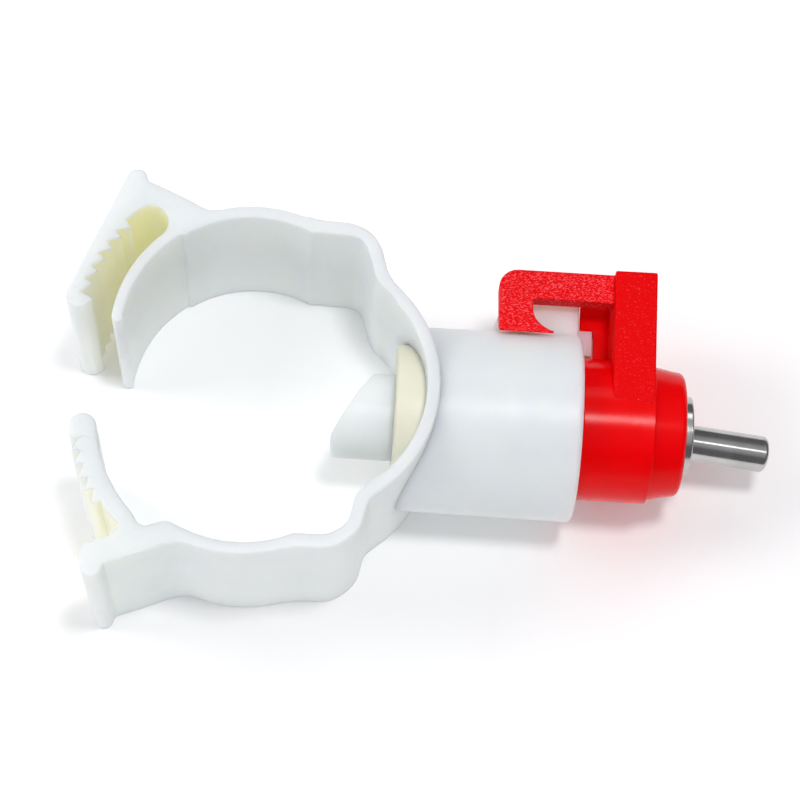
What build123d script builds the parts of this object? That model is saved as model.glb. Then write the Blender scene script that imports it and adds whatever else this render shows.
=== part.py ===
"""Poultry nipple drinker on a snap-round saddle clamp for a 25 mm supply pipe.

Frame: origin where the pipe's axis meets the nipple's axis, halfway across the clamp band.
+Z runs along the pipe, +X along the nipple towards its trigger pin. Millimetres throughout.
The clamp is drawn open, as moulded, and the pin leans down on its mouth, as it does when it lies dry.
"""

from build123d import *
import os
from math import cos, radians, sin

# ---- driving dimensions -------------------------------------------------------------------------
PIPE_RADIUS = 12.5  # supply pipe, 25 mm outside diameter
BAND_THICKNESS = 1.3
BAND_WIDTH = 20.0
SADDLE_HALF_ANGLE = 50.0  # the fixed band reaches this far each side of the nipple

# Flex loops: the thin bends that let each arm close. The arms turn about KNUCKLE.
KNUCKLE = (6.9, 12.7)
LOOP_RUN = 1.4  # how far the loop runs straight on from the saddle before it turns out
LOOP_CORNER = (5.7, 16.25)  # where the loop turns along the arm
LOOP_BEND = 3.0
SOCKET_GAP = 0.1

# Arms, drawn closed about CLOSED_CENTRE and then swung open by OPEN_ANGLE about the knuckle.
CLOSED_CENTRE = (-0.4, 0.0)
OPEN_ANGLE = 25.5
ARM_START = 62.0  # the angle, about the open arm's centre, where the loop meets the arm

# Ratchet, as radii about the arm's centre, and angles in the closed state.
TOOTH_PITCH = 4.9
TOOTH_CATCH = 0.7  # the catch face leans by this angle
FIRST_TOOTH = 165.5
JAW_TEETH = 7
JAW_TIP_RADIUS = 16.4
JAW_VALLEY_RADIUS = 17.3
TONGUE_INNER_RADIUS = 14.15
TONGUE_TIP_RADIUS = 17.0
TONGUE_VALLEY_RADIUS = 16.1
TONGUE_TEETH = 6
TONGUE_LEAD = 0.5  # the tongue's teeth sit this angle past the jaw's, clear of the catch faces

# Barrel that receives the nipple, round the +X axis.
BARREL_ROOT_RADIUS = 9.3
BARREL_END_RADIUS = 9.5
BARREL_END = 28.0
BORE_RADIUS = 6.5
BORE_FLOOR = 15.2
BAYONET_RADIUS = 7.2
BAYONET_START, BAYONET_END = 21.9, 24.1
BAYONET_TURN = 75.0
SLOT_WIDTH = 5.0

# Inlet spigot and its gasket.
SPIGOT_RADIUS = 4.4
SPIGOT_BORE = 2.9
SPIGOT_SHORT_SIDE = 7.7
SPIGOT_TIP = 2.6  # where its two sides would meet if the tip were sharp
GASKET_RADIUS = 7.5
GASKET_FACE = 9.5
GASKET_FLOOR = 12.6
POCKET_RADIUS = 7.7

# Nipple body, round the +X axis.
SHANK_RADIUS = 6.4
SHANK_START = 16.0
HEAD_RADIUS = 7.2
HEAD_START, HEAD_SHOULDER, HEAD_END = 28.1, 35.35, 38.65
CROWN_RADIUS = 6.8  # the crown steps in a little at the shoulder, then tapers
CROWN_EDGE = (37.95, 6.3)  # where its rounded edge begins
HEAD_END_RADIUS = 5.8
FILTER_RADIUS = 4.9
FILTER_START, FILTER_END = 16.3, 17.2
WATERWAY_RADIUS = 3.0
SLEEVE_START = 23.6
SLEEVE_RADIUS = 3.95
SLEEVE_END = 39.6
BODY_RING_AT = 19.4
BODY_RING_WIRE = 0.7

# Latch on the nipple body, and the lug on the barrel that it lies against.
LATCH_TOP = 14.7
HOOK_FAR, HOOK_NEAR = 4.0, 5.8  # z of the hook plate's two faces
BLOCK_FAR, BLOCK_NEAR = -2.0, 7.1
BLOCK_START, BLOCK_END = 31.0, 35.2
HOOK_CLEARANCE_RADIUS = 9.85
HOOK_THICKNESS = 3.1  # of the arm along the barrel, under LATCH_TOP
WEB_START = 28.1  # the web under the hook plate starts here and stays above the key
WEB_NEAR = 0.3  # z of its near face, well under the plate
LUG_FAR, LUG_NEAR = -1.5, 2.7
LUG_START, LUG_END = 19.0, 27.5
LUG_TOP = 12.5
KEY_START, KEY_END = 26.0, 29.3  # the key runs on past the barrel's end
KEY_FLOOR, KEY_TOP = 7.4, 10.1
KEY_WIDTH = 3.0

# Valve: sleeve bore, guide, seat ring, stem and trigger pin, round the +X axis.
GUIDE_RADIUS = 3.3
GUIDE_START, GUIDE_END = 24.4, 29.6
GUIDE_BORE = 2.45
SEAT_BORE = 1.5
SEAT_END = 30.7
CHAMBER_RADIUS = 3.0
PIN_PIVOT = 32.0
PIN_RADIUS = 1.85
PIN_END = 48.1
PIN_HEAD_RADIUS = 2.7
PIN_HEAD_BACK = 31.4
PIN_LEAN = 11.5
NECK_AT, NECK_RADIUS = 33.95, 2.45
MOUTH_RADIUS = 3.6
SLEEVE_RING_AT = 36.2
SLEEVE_RING_WIRE = 0.33

# ---- worked out from them -----------------------------------------------------------------------
BAND_MID_RADIUS = PIPE_RADIUS + BAND_THICKNESS / 2
BAND_OUTER_RADIUS = PIPE_RADIUS + BAND_THICKNESS
HALF_BAND = BAND_WIDTH / 2


def polar(centre, radius, angle):
    """The point at this radius and angle in degrees about a centre in the XY plane."""
    return (centre[0] + radius * cos(radians(angle)), centre[1] + radius * sin(radians(angle)))


def swing_open(point):
    """Where a point of the closed upper arm goes when the arm swings open."""
    arm = Vector(point[0] - KNUCKLE[0], point[1] - KNUCKLE[1]).rotate(Axis.Z, -OPEN_ANGLE)
    return (KNUCKLE[0] + arm.X, KNUCKLE[1] + arm.Y)


def below(point):
    """The mirror image of an upper point in the lower half of the clamp."""
    return (point[0], -point[1])


UPPER_CENTRE = swing_open(CLOSED_CENTRE)
LOWER_CENTRE = below(UPPER_CENTRE)
BAND_START = Plane.XY.offset(-HALF_BAND)


def loop_on_saddle(side):
    """Adds the saddle's share of a flex loop, from the band out to the knuckle, to the sketch."""
    root = polar((0, 0), BAND_MID_RADIUS, SADDLE_HALF_ANGLE)
    elbow = polar(root, LOOP_RUN, SADDLE_HALF_ANGLE + 90)
    points = [(x, side * y) for x, y in (root, elbow, KNUCKLE)]
    with BuildLine() as loop:
        FilletPolyline(points, radius=1.2)
    trace(loop.edges(), line_width=BAND_THICKNESS)
    with Locations(points[-1]):
        Circle(BAND_THICKNESS / 2)


def loop_on_arm(side):
    """Adds the arm's share of a flex loop, from its socket round the knuckle to the arm."""
    arm = polar(UPPER_CENTRE, BAND_MID_RADIUS, ARM_START)
    points = [(x, side * y) for x, y in (KNUCKLE, LOOP_CORNER, arm)]
    with BuildLine() as loop:
        FilletPolyline(points, radius=LOOP_BEND)
    trace(loop.edges(), line_width=BAND_THICKNESS)
    with Locations(points[-1]):
        Circle(BAND_THICKNESS / 2)
    with Locations(points[0]):
        Circle(BAND_THICKNESS / 2 + SOCKET_GAP, mode=Mode.SUBTRACT)


def band_arc(centre, start, end):
    """Adds a stretch of band between two angles about a centre to the sketch."""
    with BuildLine() as arc:
        CenterArc(centre, BAND_MID_RADIUS, start, end - start)
    trace(arc.edges(), line_width=BAND_THICKNESS)


def round_profile(points):
    """Adds a closed outline, given as (x, radius) pairs, to the sketch, to turn about the X axis."""
    with BuildLine() as outline:
        Polyline(*points, close=True)
    make_face(outline.edges())


# ---- clamp saddle: band, barrel, lug and inlet spigot in one moulding -----------------------------
with BuildPart() as clamp_saddle:
    with BuildSketch():
        round_profile([
            (6, SPIGOT_BORE), (6, BARREL_ROOT_RADIUS), (BARREL_END, BARREL_END_RADIUS),
            (BARREL_END, BORE_RADIUS), (BORE_FLOOR, BORE_RADIUS), (BORE_FLOOR, SPIGOT_BORE),
        ])
    revolve(axis=Axis.X)
    end_rims = clamp_saddle.edges().filter_by(GeomType.CIRCLE).group_by(Axis.X)[-1]
    fillet(end_rims.sort_by(SortBy.RADIUS)[-1], radius=0.4)
    Cylinder(PIPE_RADIUS, BAND_WIDTH + 2, mode=Mode.SUBTRACT)

    with BuildSketch(BAND_START):
        band_arc((0, 0), -SADDLE_HALF_ANGLE, SADDLE_HALF_ANGLE)
        loop_on_saddle(1)
        loop_on_saddle(-1)
    extrude(amount=BAND_WIDTH)

    # Waterway through the band, the inlet spigot, and the ring-shaped pocket for its gasket.
    with BuildSketch(Plane.YZ.offset(SPIGOT_SHORT_SIDE)):
        Circle(SPIGOT_BORE)
    extrude(amount=BORE_FLOOR - SPIGOT_SHORT_SIDE, mode=Mode.SUBTRACT)
    with BuildSketch(Plane.YZ.offset(SPIGOT_TIP)):
        Circle(SPIGOT_RADIUS)
        Circle(SPIGOT_BORE, mode=Mode.SUBTRACT)
    extrude(amount=BORE_FLOOR - SPIGOT_TIP)
    with BuildSketch(Plane.YZ.offset(SPIGOT_SHORT_SIDE)):
        Circle(POCKET_RADIUS)
        Circle(SPIGOT_RADIUS, mode=Mode.SUBTRACT)
    extrude(amount=GASKET_FLOOR - SPIGOT_SHORT_SIDE, mode=Mode.SUBTRACT)
    # Its slanted end, with the long side towards -Y and the tip rounded.
    with BuildSketch(Plane.XY.offset(-SPIGOT_RADIUS)):
        with BuildLine():
            FilletPolyline(
                (SPIGOT_SHORT_SIDE, SPIGOT_RADIUS + 1), (SPIGOT_SHORT_SIDE, SPIGOT_RADIUS),
                (SPIGOT_TIP, -SPIGOT_RADIUS), (SPIGOT_SHORT_SIDE, -SPIGOT_RADIUS),
                (SPIGOT_SHORT_SIDE, -SPIGOT_RADIUS - 1),
                (SPIGOT_TIP - 1, -SPIGOT_RADIUS - 1), (SPIGOT_TIP - 1, SPIGOT_RADIUS + 1),
                close=True,
                radius=[0, 0, 0.9, 0, 0, 0, 0],
            )
        make_face()
    extrude(amount=2 * SPIGOT_RADIUS, mode=Mode.SUBTRACT)

    # Lug on top of the barrel, and the key that runs on from it past the barrel's end.
    with BuildSketch(Plane.XY.offset(LUG_FAR)):
        with BuildLine():
            Polyline(
                (LUG_START, KEY_FLOOR), (LUG_START + 0.1, 9.6), (LUG_START + 1.2, LUG_TOP),
                (LUG_END, LUG_TOP + 0.1), (LUG_END, KEY_FLOOR), close=True,
            )
        make_face()
    extrude(amount=LUG_NEAR - LUG_FAR)
    with BuildSketch(Plane.XY.offset(LUG_FAR)):
        with Locations((KEY_START, KEY_FLOOR)):
            Rectangle(KEY_END - KEY_START, KEY_TOP - KEY_FLOOR, align=Align.MIN)
    extrude(amount=KEY_WIDTH)

    # The bayonet's groove and two entry slots, in the barrel's bore.
    with BuildSketch(Plane.YZ.offset(BAYONET_START)):
        Circle(BAYONET_RADIUS)
    extrude(amount=BAYONET_END - BAYONET_START, mode=Mode.SUBTRACT)
    with BuildSketch(Plane.YZ.offset(BAYONET_START)):
        Circle(BAYONET_RADIUS)
        Rectangle(2 * BAYONET_RADIUS, SLOT_WIDTH, rotation=-BAYONET_TURN, mode=Mode.INTERSECT)
    extrude(amount=BARREL_END - BAYONET_START, mode=Mode.SUBTRACT)

# ---- gasket round the spigot ----------------------------------------------------------------------
with BuildPart() as pipe_gasket:
    with BuildSketch(Plane.YZ.offset(GASKET_FACE)):
        Circle(GASKET_RADIUS)
        Circle(SPIGOT_RADIUS, mode=Mode.SUBTRACT)
    extrude(amount=GASKET_FLOOR - GASKET_FACE)
    face_rims = pipe_gasket.edges().filter_by(GeomType.CIRCLE).group_by(Axis.X)[0]
    chamfer(face_rims.sort_by(SortBy.RADIUS)[-1], length=0.35)

# ---- upper arm: band, lip, and the jaw with the ratchet's outer teeth ------------------------------
EAR = (-17.55, 20.2)
JAW_HEEL = (-24.3, 5.75)
JAW_TOE = (-21.7, 6.3)
LIP_END = 175.0
DEAD_END_ANGLE = 133.5
DEAD_END_RADIUS = 1.8
DEAD_END = polar(UPPER_CENTRE, BAND_OUTER_RADIUS + DEAD_END_RADIUS, DEAD_END_ANGLE)
LAST_TOOTH = FIRST_TOOTH + (JAW_TEETH - 1) * TOOTH_PITCH

with BuildPart() as upper_clamp_arm:
    with BuildSketch(BAND_START):
        # The ear and jaw as one block, down to its blunt toe.
        with BuildLine():
            FilletPolyline(
                (-8.5, 16.6), (-10.4, 17.45), (-16.4, 20.05), (-18.55, 20.75), JAW_HEEL, JAW_TOE,
                polar(UPPER_CENTRE, JAW_TIP_RADIUS - 0.6, LAST_TOOTH - OPEN_ANGLE),
                (-14.0, 13.6),
                close=True,
                radius=[0, 0, 0, 0, 1.25, 0.4, 0, 0],
            )
        make_face()
        with Locations(EAR):
            Circle(1.1)
        # The slot: smooth against the lip, toothed against the jaw, round at its dead end.
        teeth = []
        for tooth in reversed(range(JAW_TEETH)):
            angle = FIRST_TOOTH + tooth * TOOTH_PITCH - OPEN_ANGLE
            teeth.append(polar(UPPER_CENTRE, JAW_TIP_RADIUS, angle))
            teeth.append(polar(UPPER_CENTRE, JAW_VALLEY_RADIUS, angle - TOOTH_CATCH))
        with BuildLine():
            lip = CenterArc(UPPER_CENTRE, BAND_OUTER_RADIUS, DEAD_END_ANGLE, LIP_END + 10 - DEAD_END_ANGLE)
            Polyline(
                lip @ 1, polar(UPPER_CENTRE, JAW_TIP_RADIUS, LIP_END + 15), *teeth,
                polar(UPPER_CENTRE, JAW_VALLEY_RADIUS, DEAD_END_ANGLE), lip @ 0,
            )
        make_face(mode=Mode.SUBTRACT)
        with Locations(DEAD_END):
            Circle(DEAD_END_RADIUS, mode=Mode.SUBTRACT)
        # The band runs on past the slot as the lip.
        band_arc(UPPER_CENTRE, ARM_START, LIP_END)
        with Locations(polar(UPPER_CENTRE, BAND_MID_RADIUS, LIP_END)):
            Circle(BAND_THICKNESS / 2)
        loop_on_arm(1)
    extrude(amount=BAND_WIDTH)

# ---- lower arm: band, end flange, and the tongue with the ratchet's inner teeth --------------------
TONGUE_END = 186.4
TONGUE_ROOT = 226.0
TONGUE_MID_RADIUS = (TONGUE_INNER_RADIUS + TONGUE_TIP_RADIUS) / 2
FLANGE_START = -123.5
FLANGE_BEAD = (-18.75, -20.05)

with BuildPart() as lower_clamp_arm:
    with BuildSketch(BAND_START):
        teeth = []
        for tooth in range(TONGUE_TEETH):
            angle = FIRST_TOOTH + tooth * TOOTH_PITCH - TONGUE_LEAD + OPEN_ANGLE
            teeth.append(polar(LOWER_CENTRE, TONGUE_TIP_RADIUS, angle - TOOTH_CATCH))
            teeth.append(polar(LOWER_CENTRE, TONGUE_VALLEY_RADIUS, angle))
        with BuildLine():
            inner = CenterArc(LOWER_CENTRE, TONGUE_INNER_RADIUS, TONGUE_END, 232.0 - TONGUE_END)
            tip = polar(LOWER_CENTRE, TONGUE_TIP_RADIUS, TONGUE_END)
            Line(inner @ 0, tip)
            Polyline(tip, *teeth)
            notch = CenterArc(LOWER_CENTRE, TONGUE_VALLEY_RADIUS, angle, TONGUE_ROOT - angle)
            Polyline(
                notch @ 1, (-19.45, -18.25), (-19.95, -18.8), (-19.85, -20.0), (-17.6, -20.0),
                (-10.4, -17.2), (-9.0, -17.2), (-9.6, -15.9), (-11.4, -15.4), (-12.3, -15.25), inner @ 1,
            )
        make_face()
        with Locations(FLANGE_BEAD):
            Circle(1.1)
        with Locations(polar(LOWER_CENTRE, TONGUE_MID_RADIUS, TONGUE_END)):
            Circle((TONGUE_TIP_RADIUS - TONGUE_INNER_RADIUS) / 2)
        band_arc(LOWER_CENTRE, -ARM_START, FLANGE_START)
        loop_on_arm(-1)
    extrude(amount=BAND_WIDTH)

# ---- nipple body: head, shank, bayonet tabs and latch in one moulding ------------------------------
with BuildPart() as nipple_body:
    ring_half = BODY_RING_WIRE + 0.15
    ring_floor = BORE_RADIUS - 2 * BODY_RING_WIRE - 0.1
    with BuildSketch():
        with BuildLine():
            shank = Polyline(
                (SHANK_START, FILTER_RADIUS), (SHANK_START, SHANK_RADIUS),
                (BODY_RING_AT - ring_half, SHANK_RADIUS), (BODY_RING_AT - ring_half, ring_floor),
                (BODY_RING_AT + ring_half, ring_floor), (BODY_RING_AT + ring_half, SHANK_RADIUS),
                (HEAD_START, SHANK_RADIUS), (HEAD_START, HEAD_RADIUS), (HEAD_SHOULDER, HEAD_RADIUS),
            )
            crown = Polyline(shank @ 1, (HEAD_SHOULDER, CROWN_RADIUS), CROWN_EDGE)
            edge = ThreePointArc(crown @ 1, (38.42, 6.14), (HEAD_END, HEAD_END_RADIUS))
            Polyline(
                edge @ 1, (HEAD_END, SLEEVE_RADIUS), (SLEEVE_START, SLEEVE_RADIUS),
                (SLEEVE_START, WATERWAY_RADIUS), (FILTER_END, WATERWAY_RADIUS),
                (FILTER_END, FILTER_RADIUS), shank @ 0,
            )
        make_face()
    revolve(axis=Axis.X)

    # Two bayonet tabs, BAYONET_TURN short of the barrel's entry slots.
    with BuildSketch(Plane.YZ.offset(BAYONET_START + 0.1)):
        Circle(BAYONET_RADIUS - 0.1)
        Rectangle(2 * BAYONET_RADIUS, SLOT_WIDTH - 0.4, mode=Mode.INTERSECT)
        Circle(SHANK_RADIUS - 1, mode=Mode.SUBTRACT)
    extrude(amount=BAYONET_END - BAYONET_START - 0.2)

    # Hook plate: an arm along the barrel with a barbed leg at its end.
    with BuildSketch(Plane.XY.offset(HOOK_FAR)):
        with BuildLine():
            back = FilletPolyline(
                (BLOCK_START + 1, LATCH_TOP), (19.3, LATCH_TOP), (19.6, 7.0), (25.0, 7.0), radius=[1.9, 0]
            )
            barb = Polyline(back @ 1, (25.0, 8.3))
            throat = ThreePointArc(barb @ 1, (23.55, 9.1), (22.9, 10.3))
            Polyline(
                throat @ 1, (22.9, LATCH_TOP - HOOK_THICKNESS), (BLOCK_START + 1, LATCH_TOP - HOOK_THICKNESS),
                back @ 0,
            )
        make_face()
    extrude(amount=HOOK_NEAR - HOOK_FAR)
    with BuildSketch():
        round_profile([
            (17, HEAD_RADIUS), (17, HOOK_CLEARANCE_RADIUS),
            (HEAD_START, HOOK_CLEARANCE_RADIUS), (HEAD_START, HEAD_RADIUS),
        ])
    revolve(axis=Axis.X, mode=Mode.SUBTRACT)

    # Block that carries the plate, and the web under the plate that keeps clear of the barrel's key.
    with BuildSketch(Plane.XY.offset(BLOCK_FAR)):
        with BuildLine():
            Polyline(
                (BLOCK_START, 4.5), (BLOCK_START, LATCH_TOP - 0.6), (BLOCK_START + 0.6, LATCH_TOP),
                (BLOCK_END, LATCH_TOP), (BLOCK_END, 4.5), close=True,
            )
        make_face()
    extrude(amount=BLOCK_NEAR - BLOCK_FAR)
    with BuildSketch(Plane.XY):
        with Locations(((BLOCK_START + BLOCK_END) / 2, 3.0)):
            Rectangle(BLOCK_END - BLOCK_START, 4.0)
    extrude(amount=BLOCK_NEAR)
    with BuildSketch(Plane.XY.offset(LUG_FAR)):
        with BuildLine():
            Polyline(
                (WEB_START, KEY_TOP + 0.3), (KEY_END + 0.2, KEY_TOP + 0.3),
                (KEY_END + 0.2, KEY_FLOOR - 0.5), (BLOCK_START + 1, KEY_FLOOR - 0.5),
                (BLOCK_START + 1, LATCH_TOP), (WEB_START, LATCH_TOP), close=True,
            )
        make_face()
    extrude(amount=WEB_NEAR - LUG_FAR)
    # The sleeve's bore is cleared again where the block was added.
    with BuildSketch():
        round_profile([
            (SLEEVE_START, 0), (SLEEVE_START, SLEEVE_RADIUS), (HEAD_END, SLEEVE_RADIUS), (HEAD_END, 0),
        ])
    revolve(axis=Axis.X, mode=Mode.SUBTRACT)

# ---- seals, filter, sleeve, guide and seat ---------------------------------------------------------
def ring_seal(at, wire, outer):
    """A rubber ring of round section about the X axis, with its outside at the given radius."""
    with BuildPart() as ring:
        with BuildSketch():
            with Locations((at, outer - wire)):
                Circle(wire)
        revolve(axis=Axis.X)
    return ring


body_o_ring = ring_seal(BODY_RING_AT, BODY_RING_WIRE, BORE_RADIUS - 0.05)
sleeve_o_ring = ring_seal(SLEEVE_RING_AT, SLEEVE_RING_WIRE, SLEEVE_RADIUS)

with BuildPart() as inlet_filter:
    with BuildSketch(Plane.YZ.offset(FILTER_START)):
        Circle(FILTER_RADIUS)
        with HexLocations(0.85, 5, 5):
            Circle(0.5, mode=Mode.SUBTRACT)
    extrude(amount=FILTER_END - FILTER_START)

with BuildPart() as seat_sleeve:
    ring_half = SLEEVE_RING_WIRE + 0.1
    ring_floor = SLEEVE_RADIUS - 2 * SLEEVE_RING_WIRE
    with BuildSketch():
        round_profile([
            (SLEEVE_START, GUIDE_RADIUS), (SEAT_END, GUIDE_RADIUS), (SEAT_END, CHAMBER_RADIUS),
            (PIN_PIVOT + 0.3, CHAMBER_RADIUS), (NECK_AT, NECK_RADIUS), (HEAD_END, MOUTH_RADIUS - 0.15),
            (SLEEVE_END, MOUTH_RADIUS), (SLEEVE_END, SLEEVE_RADIUS),
            (SLEEVE_RING_AT + ring_half, SLEEVE_RADIUS), (SLEEVE_RING_AT + ring_half, ring_floor),
            (SLEEVE_RING_AT - ring_half, ring_floor), (SLEEVE_RING_AT - ring_half, SLEEVE_RADIUS),
            (SLEEVE_START, SLEEVE_RADIUS),
        ])
    revolve(axis=Axis.X)
    mouth_rims = seat_sleeve.edges().filter_by(GeomType.CIRCLE).group_by(Axis.X)[-1]
    fillet(mouth_rims.sort_by(SortBy.RADIUS)[-1], radius=0.2)

with BuildPart() as stem_guide:
    with BuildSketch(Plane.YZ.offset(GUIDE_START)):
        Circle(GUIDE_RADIUS)
        Circle(GUIDE_BORE, mode=Mode.SUBTRACT)
        with PolarLocations(GUIDE_BORE, 4):
            Circle(0.5, mode=Mode.SUBTRACT)
    extrude(amount=GUIDE_END - GUIDE_START)

with BuildPart() as stem_seat:
    with BuildSketch(Plane.YZ.offset(GUIDE_END)):
        Circle(GUIDE_RADIUS)
        Circle(SEAT_BORE, mode=Mode.SUBTRACT)
    extrude(amount=SEAT_END - GUIDE_END)

# ---- valve stem and trigger pin --------------------------------------------------------------------
STEM_RADIUS = 2.35
STEM_SHAFT = 1.3
STEM_TAIL, STEM_NOSE = 25.5, 31.3

with BuildPart() as valve_stem:
    with BuildSketch():
        with BuildLine():
            back = Polyline(
                (STEM_TAIL, 0), (STEM_TAIL, STEM_RADIUS), (28.9, STEM_RADIUS), (29.45, STEM_SHAFT),
                (STEM_NOSE - STEM_SHAFT, STEM_SHAFT),
            )
            nose = CenterArc((STEM_NOSE - STEM_SHAFT, 0), STEM_SHAFT, 0, 90)
            Line(nose @ 0, back @ 0)
        make_face()
    revolve(axis=Axis.X)

# The pin is drawn along its own axis, which leans down from the nipple's by PIN_LEAN.
pin_plane = Plane(
    origin=(PIN_PIVOT, 0, 0),
    x_dir=(cos(radians(PIN_LEAN)), 0, -sin(radians(PIN_LEAN))),
    z_dir=(sin(radians(PIN_LEAN)), 0, cos(radians(PIN_LEAN))),
)
head_back = PIN_HEAD_BACK - PIN_PIVOT
head_rim = (PIN_HEAD_RADIUS**2 - head_back**2) ** 0.5
under_head = (PIN_HEAD_RADIUS**2 - PIN_RADIUS**2) ** 0.5
shaft_end = PIN_END - PIN_PIVOT

with BuildPart() as trigger_pin:
    with BuildSketch(pin_plane):
        with BuildLine():
            back = Polyline((head_back, 0), (head_back, head_rim))
            under = ThreePointArc(back @ 1, (0, PIN_HEAD_RADIUS), (under_head, PIN_RADIUS))
            Polyline(
                under @ 1, (shaft_end - 0.3, PIN_RADIUS), (shaft_end, PIN_RADIUS - 0.3), (shaft_end, 0),
                back @ 0,
            )
        make_face()
    revolve(axis=Axis(pin_plane.origin, pin_plane.x_dir))

# ---- one STEP file for each piece ------------------------------------------------------------------
os.makedirs("parts", exist_ok=True)

clamp_saddle.part.label = "clamp_saddle"
export_step(clamp_saddle.part, "parts/clamp_saddle.step")
pipe_gasket.part.label = "pipe_gasket"
export_step(pipe_gasket.part, "parts/pipe_gasket.step")
upper_clamp_arm.part.label = "upper_clamp_arm"
export_step(upper_clamp_arm.part, "parts/upper_clamp_arm.step")
lower_clamp_arm.part.label = "lower_clamp_arm"
export_step(lower_clamp_arm.part, "parts/lower_clamp_arm.step")
nipple_body.part.label = "nipple_body"
export_step(nipple_body.part, "parts/nipple_body.step")
body_o_ring.part.label = "body_o_ring"
export_step(body_o_ring.part, "parts/body_o_ring.step")
inlet_filter.part.label = "inlet_filter"
export_step(inlet_filter.part, "parts/inlet_filter.step")
seat_sleeve.part.label = "seat_sleeve"
export_step(seat_sleeve.part, "parts/seat_sleeve.step")
sleeve_o_ring.part.label = "sleeve_o_ring"
export_step(sleeve_o_ring.part, "parts/sleeve_o_ring.step")
stem_guide.part.label = "stem_guide"
export_step(stem_guide.part, "parts/stem_guide.step")
stem_seat.part.label = "stem_seat"
export_step(stem_seat.part, "parts/stem_seat.step")
valve_stem.part.label = "valve_stem"
export_step(valve_stem.part, "parts/valve_stem.step")
trigger_pin.part.label = "trigger_pin"
export_step(trigger_pin.part, "parts/trigger_pin.step")
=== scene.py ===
"""Looks of the poultry nipple drinker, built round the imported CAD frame.

Lengths are in millimetres until MM scales them. +Z is the pipe's axis and +X the nipple's.
"""

import math

import bmesh
import bpy
from mathutils import Matrix, Vector


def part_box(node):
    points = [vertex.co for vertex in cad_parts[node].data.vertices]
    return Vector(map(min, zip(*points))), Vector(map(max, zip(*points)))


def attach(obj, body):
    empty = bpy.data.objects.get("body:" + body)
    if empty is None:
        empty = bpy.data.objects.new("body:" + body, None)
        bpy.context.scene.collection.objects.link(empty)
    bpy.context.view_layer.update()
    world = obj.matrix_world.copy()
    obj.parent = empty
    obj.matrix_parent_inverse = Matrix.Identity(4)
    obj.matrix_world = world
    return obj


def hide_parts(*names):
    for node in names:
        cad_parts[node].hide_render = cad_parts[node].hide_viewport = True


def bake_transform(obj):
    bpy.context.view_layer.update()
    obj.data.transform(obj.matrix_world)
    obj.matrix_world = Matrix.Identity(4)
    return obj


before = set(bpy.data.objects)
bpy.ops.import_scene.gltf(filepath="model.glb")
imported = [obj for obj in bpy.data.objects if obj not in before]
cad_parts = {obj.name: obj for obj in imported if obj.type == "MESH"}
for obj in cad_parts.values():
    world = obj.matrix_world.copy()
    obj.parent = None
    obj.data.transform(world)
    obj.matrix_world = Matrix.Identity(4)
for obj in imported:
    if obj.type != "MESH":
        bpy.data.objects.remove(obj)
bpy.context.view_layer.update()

MM = 0.001
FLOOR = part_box("clamp_saddle")[0].z / MM

# ---- sizes shared by several pieces, as in the CAD --------------------------------------------------
PIPE = 12.5  # radius of the saddle's bore and of the arms' inner faces
BAND_OUT = 13.8
BAND_MIDDLE = (PIPE + BAND_OUT) / 2
HALF_BAND = 10.0  # half the band's width
RIM = 0.22  # rounding of the band's edges
KNUCKLE = (6.9, 12.7)  # axis that the upper arm turns about; the lower one mirrors it
CLOSED_CENTRE = (-0.4, 0.0)  # centre of both arms' bends when they are closed
OPEN_ANGLE = 25.5

# Ratchet: angles are about the arms' bend when closed, radii about its centre.
TOOTH_PITCH, TOOTH_CATCH, FIRST_TOOTH = 4.9, 0.7, 165.5
JAW_TIP, JAW_VALLEY, JAW_TEETH = 16.4, 17.3, 7
TONGUE_IN, TONGUE_TIP, TONGUE_VALLEY = 14.3, 17.0, 16.1
TONGUE_TEETH, TONGUE_LEAD, TONGUE_END = 6, 0.5, 186.4
DEAD_END_ANGLE, DEAD_END_RADIUS = 133.5, 1.75  # round end of the slot that the tongue runs into
LIP_END = 175.0  # angle of the lip's free end

# Waterway, from the saddle to the barrel's mouth
POCKET, POCKET_FLOOR = 7.56, 12.6  # the gasket's seat: radius, and x of its floor
WATERWAY = 2.9
SPIGOT_RADIUS = 4.4
BORE, BORE_FLOOR = 6.5, 15.2  # where the nipple's shank goes in
BARREL_RADIUS, BARREL_END = 9.5, 28.0
BAYONET_GROOVE = (21.9, 24.1, 7.2)  # start, end and radius of the ring that the nipple's tabs turn in

# Nipple
HEAD_RADIUS, SHANK_RADIUS = 7.2, 6.4
HEAD_SHOULDER, HEAD_END = 35.35, 38.65
SLEEVE_RADIUS, SLEEVE_START = 3.95, 23.6
CLEARANCE = 0.02  # between the sleeve and the hole it sits in
PIN_PIVOT, PIN_RADIUS, PIN_LENGTH = 32.0, 1.85, 16.1
PIN_LEAN, PIN_SIDE = 11.5, 1.7  # degrees that the pin leans down and sideways


def polar(centre, radius, angle):
    """The point at this radius and angle in degrees about a centre."""
    a = math.radians(angle)
    return (centre[0] + radius * math.cos(a), centre[1] + radius * math.sin(a))


def swung(point, angle):
    """Where a point goes when it turns about the upper knuckle."""
    turn = Matrix.Rotation(math.radians(angle), 2)
    p = turn @ Vector((point[0] - KNUCKLE[0], point[1] - KNUCKLE[1]))
    return (p.x + KNUCKLE[0], p.y + KNUCKLE[1])


UP = swung(CLOSED_CENTRE, -OPEN_ANGLE)
LOW = (UP[0], -UP[1])


# ---- outline helpers --------------------------------------------------------------------------------
def arc(centre, radius, start, end, step=2.0):
    """Points along an arc between two angles in degrees."""
    n = max(2, int(abs(end - start) / step + 0.5))
    return [polar(centre, radius, start + (end - start) * i / n) for i in range(n + 1)]


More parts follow.
